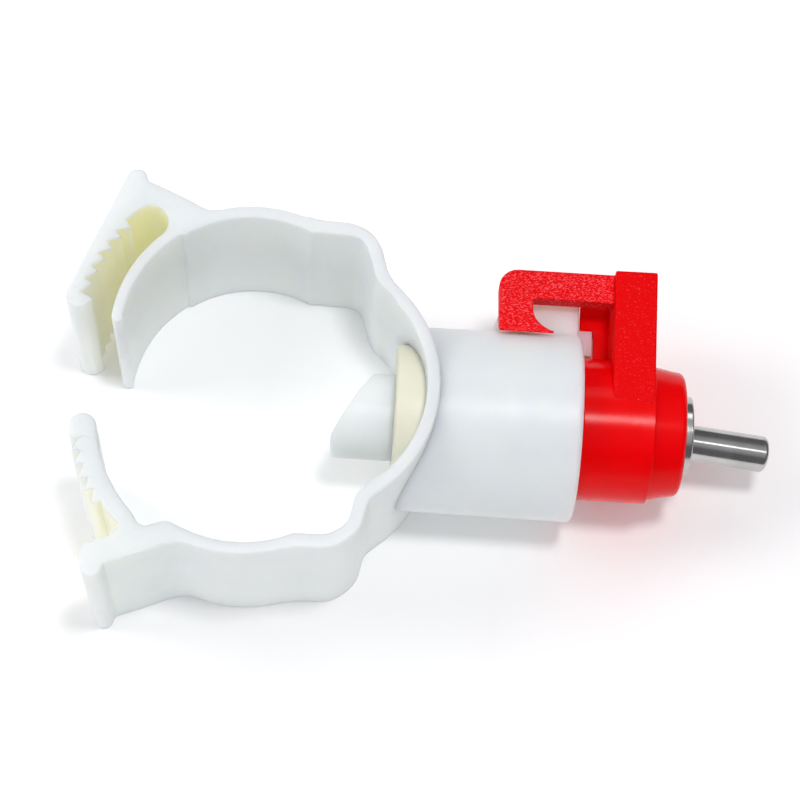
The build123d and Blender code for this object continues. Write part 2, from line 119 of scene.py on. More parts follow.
def curve(*knots, step=0.35):
    """Points along a smooth (Catmull-Rom) curve through the knots."""
    ends = [Vector(k) for k in (knots[0], *knots, knots[-1])]
    points = []
    for a, b, c, d in zip(ends, ends[1:], ends[2:], ends[3:]):
        n = max(1, int((c - b).length / step))
        for i in range(n):
            t = i / n
            square, cube = 2 * a - 5 * b + 4 * c - d, 3 * b - a - 3 * c + d
            p = 0.5 * (2 * b + (c - a) * t + square * t**2 + cube * t**3)
            points.append((p.x, p.y))
    return points + [knots[-1]]


def rounded(*corners, steps=4):
    """Points along straight runs between (x, y, radius) corners. The first and last stay sharp."""
    points = [corners[0][:2]]
    for before, corner, after in zip(corners, corners[1:], corners[2:]):
        p, q, r = (Vector(c[:2]) for c in (before, corner, after))
        radius = corner[2]
        if radius <= 0:
            points.append(tuple(q))
            continue
        u, v = (p - q).normalized(), (r - q).normalized()
        half = u.angle(v) / 2
        centre = q + (u + v).normalized() * radius / math.sin(half)
        first, last = q + u * radius / math.tan(half), q + v * radius / math.tan(half)
        a, b = first - centre, last - centre
        sweep = a.angle_signed(b)
        for i in range(steps + 1):
            turn = Matrix.Rotation(-sweep * i / steps, 2)
            points.append(tuple(centre + turn @ a))
    return points + [corners[-1][:2]]


def clean(points, closest=0.02):
    """The closed outline without points that fall on top of each other."""
    kept = []
    for p in points:
        if not kept or math.dist(p, kept[-1]) > closest:
            kept.append(p)
    if math.dist(kept[0], kept[-1]) <= closest:
        kept.pop()
    return kept


# ---- mesh helpers ---------------------------------------------------------------------------------
SHARP = 32.0  # degrees at which an edge stops being shaded smooth
MERGE = 0.0005  # points nearer than this become one
MERGE_METRES = 1e-7  # the same after a boolean, where a piece is already in metres
ON_SEAM = ON_AXIS = 1e-6  # nearer than this counts as on it
FLAT_WEIGHT = 90  # how much a large flat face counts in the shading of its edges
LEAST_MITRE = 0.35  # keeps the rim of a sharp tooth from running away


def finish_mesh(name, bm):
    """Makes an object from a bmesh given in millimetres."""
    bmesh.ops.remove_doubles(bm, verts=bm.verts, dist=MERGE)
    bmesh.ops.recalc_face_normals(bm, faces=bm.faces)
    bmesh.ops.scale(bm, vec=(MM, MM, MM), verts=bm.verts)
    mesh = bpy.data.meshes.new(name)
    bm.to_mesh(mesh)
    bm.free()
    obj = bpy.data.objects.new(name, mesh)
    bpy.context.scene.collection.objects.link(obj)
    shade(obj)
    return obj


def shade(obj):
    """Smooth shading, apart from sharp edges."""
    for poly in obj.data.polygons:
        poly.use_smooth = True
    obj.data.set_sharp_from_angle(angle=math.radians(SHARP))


def weighted(obj):
    """Lets large flat faces keep their own normals up to their rounded edges."""
    mod = obj.modifiers.new("flat_faces", "WEIGHTED_NORMAL")
    mod.keep_sharp = True
    mod.weight = FLAT_WEIGHT


def plate(name, outline, low, high, rim=RIM, steps=4, seam=False):
    """A flat moulding: an outline extruded from low to high along Z, with rounded rims.

    With seam, the end of a strip that stops on y = 0 stays square, so two halves meet without a groove.
    """
    points = [Vector(p) for p in clean(outline)]
    area = sum(a.x * b.y - b.x * a.y for a, b in zip(points, points[1:] + points[:1]))
    if area < 0:
        points.reverse()
    inward = []
    for i, p in enumerate(points):
        before, after = points[i - 1], points[(i + 1) % len(points)]
        e1, e2 = (p - before).normalized(), (after - p).normalized()
        n1, n2 = Vector((-e1.y, e1.x)), Vector((-e2.y, e2.x))
        if seam and abs(p.y) < ON_SEAM:
            inward.append(Vector((math.copysign(1, BAND_MIDDLE - p.x), 0)))
        else:
            inward.append((n1 + n2) / max(LEAST_MITRE, 1 + n1.dot(n2)))
    rings = []
    for i in range(steps + 1):
        a = math.radians(90 - 90 * i / steps)
        rings.append((rim * (1 - math.cos(a)), low + rim - rim * math.sin(a)))
    for i in range(steps + 1):
        a = math.radians(90 * i / steps)
        rings.append((rim * (1 - math.cos(a)), high - rim + rim * math.sin(a)))
    bm = bmesh.new()
    rows = [[bm.verts.new((*(p + n * inset), z)) for p, n in zip(points, inward)] for inset, z in rings]
    for lower, upper in zip(rows, rows[1:]):
        for i in range(len(points)):
            j = (i + 1) % len(points)
            bm.faces.new((lower[i], lower[j], upper[j], upper[i]))
    caps = [bm.faces.new(list(reversed(rows[0]))), bm.faces.new(rows[-1])]
    bm.normal_update()
    bmesh.ops.triangulate(bm, faces=caps, ngon_method="BEAUTY")
    return finish_mesh(name, bm)


def lathe(name, profile, segments=128):
    """A closed (x, radius) profile turned about the X axis. Points of radius 0 close onto the axis."""
    bm = bmesh.new()
    rings = []
    for x, r in profile:
        if r < ON_AXIS:
            rings.append([bm.verts.new((x, 0, 0))])
        else:
            turn = [math.tau * i / segments for i in range(segments)]
            rings.append([bm.verts.new((x, r * math.cos(t), r * math.sin(t))) for t in turn])
    for a, b in zip(rings, rings[1:] + rings[:1]):
        if len(a) == 1 and len(b) == 1:
            continue
        for i in range(segments):
            j = (i + 1) % segments
            corners = [a[i % len(a)], a[j % len(a)], b[j % len(b)], b[i % len(b)]]
            bm.faces.new(list(dict.fromkeys(corners)))
    return finish_mesh(name, bm)


def block(name, low, high, bevel=0.0):
    """A box between two corners, with rounded edges where bevel is given."""
    bm = bmesh.new()
    bmesh.ops.create_cube(bm, size=1)
    size = [h - l for l, h in zip(low, high)]
    bmesh.ops.scale(bm, vec=size, verts=bm.verts)
    bmesh.ops.translate(bm, vec=[(l + h) / 2 for l, h in zip(low, high)], verts=bm.verts)
    if bevel:
        bmesh.ops.bevel(bm, geom=bm.edges[:], offset=bevel, segments=3, profile=0.5, affect="EDGES")
    return finish_mesh(name, bm)


def cylinder(radius, depth, segments, centre=(0, 0, 0)):
    """A cutter along Z, its middle at the centre."""
    bm = bmesh.new()
    bmesh.ops.create_cone(bm, cap_ends=True, segments=segments, radius1=radius, radius2=radius, depth=depth)
    bmesh.ops.translate(bm, vec=centre, verts=bm.verts)
    return finish_mesh("cutter", bm)


def combine(obj, operation, *others):
    """Joins others to obj, cuts them from it or keeps what they share, and removes them."""
    for other in others:
        mod = obj.modifiers.new("combine", "BOOLEAN")
        mod.operation = operation
        mod.solver = "EXACT"
        mod.object = other
        bpy.context.view_layer.update()
        shown = obj.evaluated_get(bpy.context.evaluated_depsgraph_get())
        result = bpy.data.meshes.new_from_object(shown)
        obj.modifiers.remove(mod)
        obj.data = result
        bpy.data.objects.remove(other)
        bm = bmesh.new()
        bm.from_mesh(obj.data)
        bmesh.ops.remove_doubles(bm, verts=bm.verts, dist=MERGE_METRES)
        bmesh.ops.dissolve_degenerate(bm, dist=MERGE_METRES, edges=bm.edges)
        bm.to_mesh(obj.data)
        bm.free()
    shade(obj)
    return obj


def rim_arc(x, r, radius, start, end, steps=5):
    """Points round a corner of a lathe profile: centre (x, r), angles in degrees."""
    return [polar((x, r), radius, start + (end - start) * i / steps) for i in range(steps + 1)]


# ---- materials --------------------------------------------------------------------------------------
def material(name):
    """A new node material: (material, its node tree's nodes, its links, its Principled shader)."""
    mat = bpy.data.materials.new(name)
    mat.use_nodes = True
    nodes, links = mat.node_tree.nodes, mat.node_tree.links
    return mat, nodes, links, nodes["Principled BSDF"]


def noise(nodes, links, coords, scale, detail, rough=0.55, stretch=(1, 1, 1)):
    """A noise texture in the piece's own coordinates, its scale given per metre."""
    mapping = nodes.new("ShaderNodeMapping")
    mapping.inputs["Scale"].default_value = stretch
    links.new(coords.outputs["Object"], mapping.inputs["Vector"])
    tex = nodes.new("ShaderNodeTexNoise")
    tex.inputs["Scale"].default_value = scale
    tex.inputs["Detail"].default_value = detail
    tex.inputs["Roughness"].default_value = rough
    links.new(mapping.outputs["Vector"], tex.inputs["Vector"])
    return tex.outputs["Fac"]


def ramp(nodes, links, value, *stops):
    """A colour ramp with (position, colour) stops."""
    node = nodes.new("ShaderNodeValToRGB")
    elements = node.color_ramp.elements
    while len(elements) < len(stops):
        elements.new(0.5)
    for element, (position, colour) in zip(elements, stops):
        element.position = position
        element.color = (*colour, 1)
    links.new(value, node.inputs["Fac"])
    return node.outputs["Color"]


def spread(nodes, links, value, low, high):
    """Maps 0.3 to 0.7 of a noise onto a range of values."""
    node = nodes.new("ShaderNodeMapRange")
    node.inputs["From Min"].default_value = 0.3
    node.inputs["From Max"].default_value = 0.7
    node.inputs["To Min"].default_value = low
    node.inputs["To Max"].default_value = high
    links.new(value, node.inputs["Value"])
    return node.outputs["Result"]


def bump(nodes, links, shader, *layers):
    """Stacks bumps on a shader: each layer is (height, distance in millimetres)."""
    previous = None
    for height, distance in layers:
        node = nodes.new("ShaderNodeBump")
        node.inputs["Strength"].default_value = 1.0
        node.inputs["Distance"].default_value = distance * MM
        links.new(height, node.inputs["Height"])
        if previous:
            links.new(previous, node.inputs["Normal"])
        previous = node.outputs["Normal"]
    links.new(previous, shader.inputs["Normal"])


def uniform(shader, values):
    """Sets sockets that are the same all over a surface."""
    for socket, value in values.items():
        shader.inputs[socket].default_value = value


def stored(nodes, name):
    """The value that the mesh stores on its points under this name, or 0."""
    node = nodes.new("ShaderNodeAttribute")
    node.attribute_name = name
    return node.outputs["Fac"]


def arithmetic(nodes, links, operation, constant, value):
    """A Math node on one constant and one varying value."""
    node = nodes.new("ShaderNodeMath")
    node.operation = operation
    node.inputs[0].default_value = constant
    links.new(value, node.inputs[1])
    return node.outputs["Value"]


def white_plastic():
    """White polypropylene, with a painted yellowish tint and a faint painted glow on walls that the stored
    recess mark says are deep inside, in place of light scattered into them.

    Light doesn't scatter through it where "seam" is 1: there two strips meet that are one moulding.
    """
    mat, nodes, links, shader = material("clamp_polypropylene")
    coords = nodes.new("ShaderNodeTexCoord")
    cloud = noise(nodes, links, coords, scale=160, detail=4)
    flow = noise(nodes, links, coords, scale=420, detail=5, rough=0.6, stretch=(1, 1, 0.25))
    grain = noise(nodes, links, coords, scale=5200, detail=2)
    # Painted light: the recess mark mixes in a painted yellowish tint for light scattered deep into slots and
    # teeth.
    painted_recess_glow = stored(nodes, "painted_recess_glow")
    tint = nodes.new("ShaderNodeMix")
    tint.data_type = "RGBA"
    tint.inputs["B"].default_value = (0.94, 0.93, 0.72, 1)
    links.new(painted_recess_glow, tint.inputs["Factor"])
    links.new(
        ramp(nodes, links, cloud, (0.3, (0.77, 0.82, 0.82)), (0.55, (0.80, 0.84, 0.84)),
             (0.75, (0.82, 0.85, 0.84))),
        tint.inputs["A"],
    )
    links.new(tint.outputs["Result"], shader.inputs["Base Color"])
    links.new(spread(nodes, links, flow, low=0.32, high=0.42), shader.inputs["Roughness"])
    solid = arithmetic(nodes, links, "SUBTRACT", 1.0, stored(nodes, "seam"))
    links.new(solid, shader.inputs["Subsurface Weight"])
    # Painted glow: a faint yellowish emission where the recess mark is set.
    glow = arithmetic(nodes, links, "MULTIPLY", 0.07, painted_recess_glow)
    links.new(glow, shader.inputs["Emission Strength"])
    uniform(shader, {
        "IOR": 1.49, "Specular IOR Level": 0.3, "Emission Color": (0.95, 0.92, 0.60, 1),
        "Subsurface Radius": (1.0, 0.97, 0.75), "Subsurface Scale": 3.0 * MM,
    })
    bump(nodes, links, shader, (flow, 0.035), (grain, 0.004))
    return mat


def red_plastic(name, scuffs_and_painted_glints=None):
    """Glossy red moulding, or, given two noise levels, a rough one.

    The two noise levels are where the rough face turns from red to pinkish; that speckle is partly scuffing
    and partly painted glints where light catches the grain.
    """
    mat, nodes, links, shader = material(name)
    coords = nodes.new("ShaderNodeTexCoord")
    cloud = noise(nodes, links, coords, scale=220, detail=3)
    fine = noise(nodes, links, coords, scale=6500, detail=3, rough=0.75, stretch=(0.6, 1.2, 1))
    if scuffs_and_painted_glints:
        least, most = scuffs_and_painted_glints
        # Pinkish speckle: partly scuffing, partly painted glints on the grain.
        tint = ramp(nodes, links, fine, (least, (0.82, 0.0, 0.001)), (most, (1.0, 0.13, 0.16)))
        links.new(spread(nodes, links, fine, low=0.30, high=0.62), shader.inputs["Roughness"])
        bump(nodes, links, shader, (fine, 0.02), (cloud, 0.06))
    else:
        tint = ramp(nodes, links, cloud, (0.3, (0.84, 0.0, 0.001)), (0.7, (0.92, 0.0, 0.002)))
        links.new(spread(nodes, links, cloud, low=0.16, high=0.26), shader.inputs["Roughness"])
        bump(nodes, links, shader, (cloud, 0.05), (fine, 0.004))
    links.new(tint, shader.inputs["Base Color"])
    uniform(shader, {
        "IOR": 1.52, "Specular IOR Level": 0.04 if scuffs_and_painted_glints else 0.10, "Subsurface Weight": 0.12,
        "Subsurface Radius": (1.0, 0.08, 0.05), "Subsurface Scale": 0.8 * MM,
    })
    return mat


def rubber(name, colour, dark, roughness):
    """A matt material whose colour drifts between two tints: (material, its shader)."""
    mat, nodes, links, shader = material(name)
    coords = nodes.new("ShaderNodeTexCoord")
    cloud = noise(nodes, links, coords, scale=300, detail=4)
    grain = noise(nodes, links, coords, scale=4200, detail=3)
    links.new(ramp(nodes, links, cloud, (0.3, dark), (0.7, colour)), shader.inputs["Base Color"])
    rough = spread(nodes, links, grain, low=roughness - 0.06, high=roughness + 0.08)
    links.new(rough, shader.inputs["Roughness"])
    bump(nodes, links, shader, (cloud, 0.04), (grain, 0.008))
    return mat, shader


def steel(name, stretch):
    """Stainless steel with faint turning marks; stretch says which way they run."""
    mat, nodes, links, shader = material(name)
    coords = nodes.new("ShaderNodeTexCoord")
    marks = noise(nodes, links, coords, scale=900, detail=5, rough=0.65, stretch=stretch)
    cloud = noise(nodes, links, coords, scale=260, detail=3)
    tint = ramp(nodes, links, cloud, (0.3, (0.47, 0.465, 0.45)), (0.7, (0.58, 0.575, 0.56)))
    links.new(tint, shader.inputs["Base Color"])
    links.new(spread(nodes, links, marks, low=0.11, high=0.24), shader.inputs["Roughness"])
    uniform(shader, {"Metallic": 1.0})
    bump(nodes, links, shader, (marks, 0.006))
    return mat


def dress(obj, mat, slot, body=None):
    """Gives a piece its one material; slot is not used. With body, it rides on that."""
    obj.data.materials.clear()
    obj.data.materials.append(mat)
    if body:
        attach(obj, body)


WHITE = white_plastic()
RED = red_plastic("red_gloss_plastic")
# The rough reds' pinkish speckle is partly scuffing and partly painted glints.
RED_SAWN_PAINTED_GLINTS = red_plastic("red_sawn_plastic_painted_glints", (0.50, 0.66))
RED_SCUFFED_PAINTED_GLINTS = red_plastic("red_scuffed_plastic_painted_glints", (0.60, 0.78))
STEEL = steel("stainless_pin_steel", (6.0, 0.3, 0.3))
STEEL_TURNED = steel("stainless_turned_steel", (8.0, 0.4, 0.4))
CREAM, cream_shader = rubber("gasket_silicone", (0.80, 0.79, 0.66), (0.77, 0.75, 0.60), 0.42)
uniform(cream_shader, {
    "Subsurface Weight": 0.3, "Subsurface Radius": (1.0, 0.8, 0.5), "Subsurface Scale": 0.8 * MM,
})
BLACK, _ = rubber("seal_rubber_black", (0.035, 0.035, 0.036), (0.02, 0.02, 0.021), 0.5)
NATURAL, _ = rubber("filter_natural_plastic", (0.82, 0.82, 0.78), (0.76, 0.76, 0.72), 0.5)

# ---- clamp halves: saddle band, flex loop and arm in one strip each --------------------------------
# The knots and corners with bare coordinates trace the edges in the photo.
FINE = 1.5  # degrees between points where the strip runs round the pipe
COARSE = 12  # degrees between points on small rounded ends

dead_end = polar(UP, BAND_OUT + DEAD_END_RADIUS, DEAD_END_ANGLE)
jaw_teeth = []
for tooth in reversed(range(JAW_TEETH)):
    angle = FIRST_TOOTH + tooth * TOOTH_PITCH - OPEN_ANGLE
    jaw_teeth.append(polar(UP, JAW_TIP, angle))
    jaw_teeth.append(polar(UP, JAW_VALLEY, angle - TOOTH_CATCH))

upper_outline = [
    *arc((0, 0), BAND_OUT, 0, 46, FINE),
    *curve(
        (9.28, 10.28), (8.60, 10.98), (8.06, 11.85), (7.72, 12.95), (7.38, 14.13), (6.84, 15.17),
        (5.99, 16.07), (4.96, 16.62), (3.95, 16.87), (2.6, 16.95), (1.1, 17.02), (0.0, 17.25),
    ),
    *arc(UP, BAND_OUT - 0.15, 72, 106),
    *curve((-10.0, 17.35), (-10.9, 17.62), (-12.2, 18.28), (-13.6, 18.92)),
    *rounded((-13.6, 18.92, 0), (-16.42, 20.12, 0.25), (-16.62, 20.75, 0)),
    *arc((-17.55, 20.2), 1.1, 38, 158, COARSE),
    *rounded(
        (-18.70, 20.28, 0), (-24.3, 5.75, 1.25), (-21.7, 6.25, 0.45), (-20.75, 7.05, 0.3), jaw_teeth[0],
    ),
    *jaw_teeth[1:],
    *rounded(
        jaw_teeth[-1], (*polar(UP, JAW_VALLEY, FIRST_TOOTH - OPEN_ANGLE - 5.2), 0.3),
        polar(dead_end, DEAD_END_RADIUS, 128),
    ),
    *arc(dead_end, DEAD_END_RADIUS, 120, -40, 10),
    *arc(UP, BAND_OUT, DEAD_END_ANGLE + 1.5, LIP_END),
    *arc(polar(UP, BAND_MIDDLE, LIP_END), (BAND_OUT - PIPE) / 2, LIP_END + 20, LIP_END + 160, 18),
    *arc(UP, PIPE + 0.15, LIP_END - 0.5, 126.5),  # the lip is a little thinner, so a small step shows
    *arc(UP, PIPE - 0.1, 125.5, 64),
    *curve(
        (1.0, 15.60), (2.5, 15.52), (4.02, 15.47), (5.04, 15.22), (5.67, 14.62), (6.11, 13.5),
        (6.45, 12.45), (6.80, 11.35), (7.40, 10.47), (8.22, 9.75), (8.98, 8.88),
    ),
    *arc((0, 0), PIPE, 42.5, 0, FINE),
]

tongue_teeth = []
for tooth in range(TONGUE_TEETH):
    angle = FIRST_TOOTH + tooth * TOOTH_PITCH - TONGUE_LEAD + OPEN_ANGLE
    tongue_teeth.append(polar(LOW, TONGUE_TIP, angle - TOOTH_CATCH))
    tongue_teeth.append(polar(LOW, TONGUE_VALLEY, angle))
last_notch = angle

lower_outline = [
    *arc((0, 0), BAND_OUT, 0, -46.5, FINE),
    *curve(
        (9.33, -10.16), (8.41, -10.93), (7.67, -11.60), (7.30, -12.36), (7.09, -13.38), (6.84, -14.4),
        (6.25, -15.33), (5.33, -16.17), (4.35, -16.75), (3.18, -17.02), (1.9, -17.05), (0.9, -17.08),
        (0.0, -17.25),
    ),
    *arc(LOW, BAND_OUT - 0.1, -72, -109),
    *curve((-10.1, -17.26), (-11.0, -17.28), (-12.0, -17.56), (-13.6, -18.22)),
    *rounded((-13.6, -18.22, 0), (-17.45, -19.80, 0.2), (-17.64, -20.1, 0)),
    *arc((-18.7, -20.1), 1.05, -12, -150, COARSE),
    *rounded(
        (-19.72, -20.30, 0), (-20.02, -18.95, 0.4), (-19.55, -17.95, 0.4), (-17.35, -17.05, 0.35),
        (*polar(LOW, TONGUE_VALLEY - 0.1, 226.0), 0.3), polar(LOW, TONGUE_VALLEY, 222.0),
    ),
    *arc(LOW, TONGUE_VALLEY, 221.0, last_notch + 1, 2.5),
    *reversed(tongue_teeth),
    *arc(
        polar(LOW, (TONGUE_IN + TONGUE_TIP) / 2, TONGUE_END), (TONGUE_TIP - TONGUE_IN) / 2,
        TONGUE_END - 12, TONGUE_END - 168, COARSE,
    ),
    *arc(LOW, TONGUE_IN, TONGUE_END + 1, 225.0),
    *curve(
        (-14.95, -15.0), (-14.5, -15.6), (-13.9, -15.82), (-13.15, -15.52), (-12.3, -15.22),
        (-11.5, -15.28), (-10.6, -15.68),
    ),
    *arc(LOW, PIPE, -114, -64),
    *curve(
        (1.0, -15.60), (2.2, -15.62), (3.5, -15.50), (4.6, -14.95), (5.36, -14.25), (5.72, -13.26),
        (5.88, -12.35), (6.10, -11.5), (6.60, -10.75), (7.55, -9.85), (8.69, -8.98),
    ),
    *arc((0, 0), PIPE, -44.0, 0, FINE),
]

# Ejector pins leave a shallow round mark on the near face of each half.
EJECTOR_RADIUS, EJECTOR_DEPTH, EJECTOR_CUTTER = 0.78, 0.16, 1.0
EJECTORS = {"upper": (-23.1, 7.75), "lower": (-20.4, -7.95)}
CUT_START, CUT_END = 5, 16  # x between which the saddle is opened for gasket and water

halves = {}
for side, outline in (("upper", upper_outline), ("lower", lower_outline)):
    half = plate("clamp_band_" + side, outline, -HALF_BAND, HALF_BAND, seam=True)
    mark_middle = HALF_BAND - EJECTOR_DEPTH + EJECTOR_CUTTER / 2
    ejector = cylinder(EJECTOR_RADIUS, EJECTOR_CUTTER, 28, (*EJECTORS[side], mark_middle))
    opening = lathe("cutter", [
        (CUT_START, 0), (CUT_START, POCKET), (POCKET_FLOOR, POCKET), (POCKET_FLOOR, WATERWAY),
        (CUT_END, WATERWAY), (CUT_END, 0),
    ])
    halves[side] = combine(half, "DIFFERENCE", ejector, opening)

# ---- barrel, spigot, lug and key ---------------------------------------------------------------------
BARREL_ROOT = PIPE + 0.3  # the barrel starts inside the band's wall
BARREL_LIP, BORE_LIP = 0.5, 0.25  # rounding of its mouth
ENTRY_HALF, ENTRY_ANGLE = 2.5, -75  # slots that the nipple's tabs come in through
groove_start, groove_end, groove_radius = BAYONET_GROOVE

barrel = lathe("clamp_barrel", [
    (6, WATERWAY), (6, 9.3),
    *rim_arc(BARREL_END - BARREL_LIP, BARREL_RADIUS - BARREL_LIP, BARREL_LIP, 90, 0),
    *rim_arc(BARREL_END - BORE_LIP, BORE + BORE_LIP, BORE_LIP, 0, -90),
    (groove_end, BORE), (groove_end, groove_radius), (groove_start, groove_radius), (groove_start, BORE),
    (BORE_FLOOR, BORE), (BORE_FLOOR, WATERWAY),
])
pipe_cutter = cylinder(BARREL_ROOT, 24, 240)
pocket_cutter = lathe("cutter", [
    (CUT_START, 0), (CUT_START, POCKET), (POCKET_FLOOR, POCKET), (POCKET_FLOOR, 0),
])
entry_end = BARREL_END + 0.5
entries = block("cutter", (groove_start, -groove_radius, -ENTRY_HALF), (entry_end, groove_radius, ENTRY_HALF))
entries.data.transform(Matrix.Rotation(math.radians(ENTRY_ANGLE), 4, "X"))
entries = combine(entries, "INTERSECT", lathe("cutter", [
    (21, 0), (21, groove_radius), (29, groove_radius), (29, 0),
]))
barrel = combine(barrel, "DIFFERENCE", pipe_cutter, pocket_cutter, entries)

# The spigot is cut off at a slant, from its tip below to the gasket above.
spigot = lathe("spigot", [(2, WATERWAY), (2, SPIGOT_RADIUS), (13.2, SPIGOT_RADIUS), (13.2, WATERWAY)], 96)
slant = plate("cutter", rounded(
    (7.7, 5.5, 0), (7.7, SPIGOT_RADIUS, 0), (2.6, -SPIGOT_RADIUS, 0.9), (7.7, -SPIGOT_RADIUS, 0),
    (7.7, -6.5, 0), (0, -6.5, 0), (0, 5.5, 0), (7.7, 5.5, 0), steps=6,
), -6, 6, rim=0.01, steps=1)
spigot = combine(spigot, "DIFFERENCE", slant)

LUG_FAR, LUG_NEAR = -1.5, 2.7
KEY_FAR, KEY_NEAR = -1.45, 1.5
lug = plate("lug", rounded(
    (24, 8.6, 0), (19.05, 8.6, 0), (19.1, 9.6, 0.3), (20.2, 12.5, 0.35), (27.8, 12.6, 0.2),
    (27.8, 8.6, 0), (24, 8.6, 0),
), LUG_FAR, LUG_NEAR, rim=0.15)
key = plate("key", rounded(
    (27, 7.4, 0), (29.3, 7.4, 0.15), (29.3, 10.1, 0.15), (26.2, 10.1, 0), (26.2, 8.5, 0), (27, 7.4, 0),
), KEY_FAR, KEY_NEAR, rim=0.12)
barrel = combine(barrel, "UNION", spigot, lug, key)
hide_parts("clamp_saddle")
dress(barrel, WHITE, "clamp_plastic", "clamp")
weighted(barrel)

# ---- values that the white material reads --------------------------------------------------------------
SEAM_FADE = 3.0  # distance from y = 0 at which scattering is back to full


def mark(obj, name, amount):
    """Stores a value on every point of a piece, worked out from its place in millimetres."""
    marks = obj.data.attributes.new(name, "FLOAT", "POINT")
    for v, point in zip(obj.data.vertices, marks.data):
        point.value = amount(v.co / MM)


def recess(centre, radii, *stops):
    """How much painted yellowish tint and glow the walls get between two radii about a centre, from (angle,
    amount) stops.
    """
    flat_face = HALF_BAND - RIM + 0.01

    def amount(p):
        x, y = p.x - centre[0], p.y - centre[1]
        angle = math.degrees(math.atan2(y, x)) % 360
        if not radii[0] < math.hypot(x, y) < radii[1] or abs(p.z) > flat_face:
            return 0.0
        for (a, low), (b, high) in zip(stops, stops[1:]):
            if a <= angle <= b:
                return low + (high - low) * (angle - a) / (b - a)
        return 0.0
    return amount


# Painted light: a yellowish tint and faint glow are painted deep in the jaw's slot and behind the tongue,
# standing in for light scattered into them.
mark(halves["upper"], "painted_recess_glow", recess(
    UP, (13.7, 17.5), (124, 1.0), (155, 0.95), (166, 0.6), (176, 0.12),
))
mark(halves["lower"], "painted_recess_glow", recess(
    LOW, (16.0, 18.6), (183, 0.15), (208, 0.3), (210, 0.8), (232, 0.8),
))
mark(barrel, "painted_recess_glow", lambda p: 0.0)
for half in halves.values():
    mark(half, "seam", lambda p: max(0.0, 1 - abs(p.y) / SEAM_FADE) if p.x > 0 else 0.0)
mark(barrel, "seam", lambda p: 0.0)

# ---- each half gets the white plastic and flat-face shading, and hides its CAD arm ----------------------
for side, sign in (("upper", 1), ("lower", -1)):
    half = halves[side]
    dress(half, WHITE, "clamp_plastic")
    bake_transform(half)
    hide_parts(side + "_clamp_arm")
    weighted(half)

# ---- gasket ------------------------------------------------------------------------------------------
GASKET_BACK, GASKET_FACE, GASKET_RADIUS, GASKET_HOLE = 12.58, 9.5, 7.5, 4.42
GROOVE_FLOOR = 9.62  # a shallow ring round its face

gasket = lathe("gasket", [
    (GASKET_BACK, GASKET_HOLE), (GASKET_BACK, GASKET_RADIUS), *rim_arc(9.9, 7.1, 0.4, 90, 180),
    (GASKET_FACE, 6.4), (GROOVE_FLOOR, 6.2), (GROOVE_FLOOR, 5.7), (GASKET_FACE, 5.5),
    *rim_arc(9.8, 4.72, 0.3, 180, 270),
])
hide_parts("pipe_gasket")
dress(gasket, CREAM, "gasket_rubber", "clamp")

# ---- nipple body: head, shank, tabs and latch ------------------------------------------------------
SLEEVE_HOLE = SLEEVE_RADIUS + CLEARANCE
O_RING_GROOVE = (18.55, 20.25, 5.0)
TAB_HALF = 2.3
LATCH_TOP = 14.7  # y of the top of web, hook and block
WEB_FAR, WEB_NEAR = -1.5, 0.3
WEB_STEP = 0.01  # keeps the faces of the web's two blocks from lying in one plane
HOOK_FAR, HOOK_NEAR = 4.0, 5.8
HOOK_CLEARANCE = 9.85  # its nose stays this far from the axis, over the barrel
BLOCK_START, BLOCK_END, BLOCK_FAR, BLOCK_NEAR = 31.0, 35.25, -2.0, 7.12
BLOCK_LEAN = 0.016  # its near face comes forward a little along the nipple
BLOCK_FACE = 6  # points above this belong to its near face

ring_start, ring_end, ring_floor = O_RING_GROOVE
red_body = lathe("nipple_shell", [
    (16.0, 4.9), *rim_arc(16.3, 6.1, 0.3, 180, 90), (ring_start, SHANK_RADIUS), (ring_start, ring_floor),
    (ring_end, ring_floor), (ring_end, SHANK_RADIUS), (28.1, SHANK_RADIUS), *rim_arc(28.3, 7.0, 0.2, 180, 90),
    (35.26, HEAD_RADIUS), (HEAD_SHOULDER, 7.14), (35.38, 6.84), (35.5, 6.78), (37.8, 6.34),
    *rim_arc(38.0, 5.65, 0.65, 78, 0, 6), (HEAD_END, SLEEVE_HOLE), (SLEEVE_START, SLEEVE_HOLE),
    (SLEEVE_START, 3.0), (17.2, 3.0), (17.2, 4.9),
], 160)
tabs = lathe("cutter", [(22.0, 5.8), (22.0, 7.1), (24.0, 7.1), (24.0, 5.8)])
tabs = combine(tabs, "INTERSECT", block("cutter", (21, -8, -TAB_HALF), (25, 8, TAB_HALF)))
web_side = block("web", (29.5, 6.0, WEB_FAR), (32.0, 11.3, WEB_NEAR), 0.1)
web_top = block("web", (28.1, 10.4, WEB_FAR + 2 * WEB_STEP), (31.9, 14.6, WEB_NEAR + WEB_STEP), 0.1)
red_body = combine(red_body, "UNION", tabs, web_side, web_top)
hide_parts("nipple_body")
dress(red_body, RED, "red_plastic", "nipple")
weighted(red_body)

hook = plate("nipple_hook", [
    *rounded((31.4, LATCH_TOP, 0), (19.3, LATCH_TOP, 1.9), (19.6, 7.0, 0), (24.95, 7.0, 0), steps=6),
    *rounded((24.95, 7.0, 0), (25.05, 8.26, 0.08), (24.6, 8.38, 0), steps=3),
    *curve((24.6, 8.38), (23.8, 8.88), (23.2, 9.5), (22.92, 10.25), (22.88, 11.0)),
    *rounded((22.88, 11.0, 0), (22.88, 11.6, 0.1), (27.0, 11.6, 0)),
    (31.4, 11.6),
], HOOK_FAR, HOOK_NEAR, rim=0.16)
hook = combine(hook, "DIFFERENCE", lathe("cutter", [
    (17, 0), (17, HOOK_CLEARANCE), (28.1, HOOK_CLEARANCE), (28.1, 0),
]))
dress(hook, RED_SAWN_PAINTED_GLINTS, "red_plastic", "nipple")
weighted(hook)

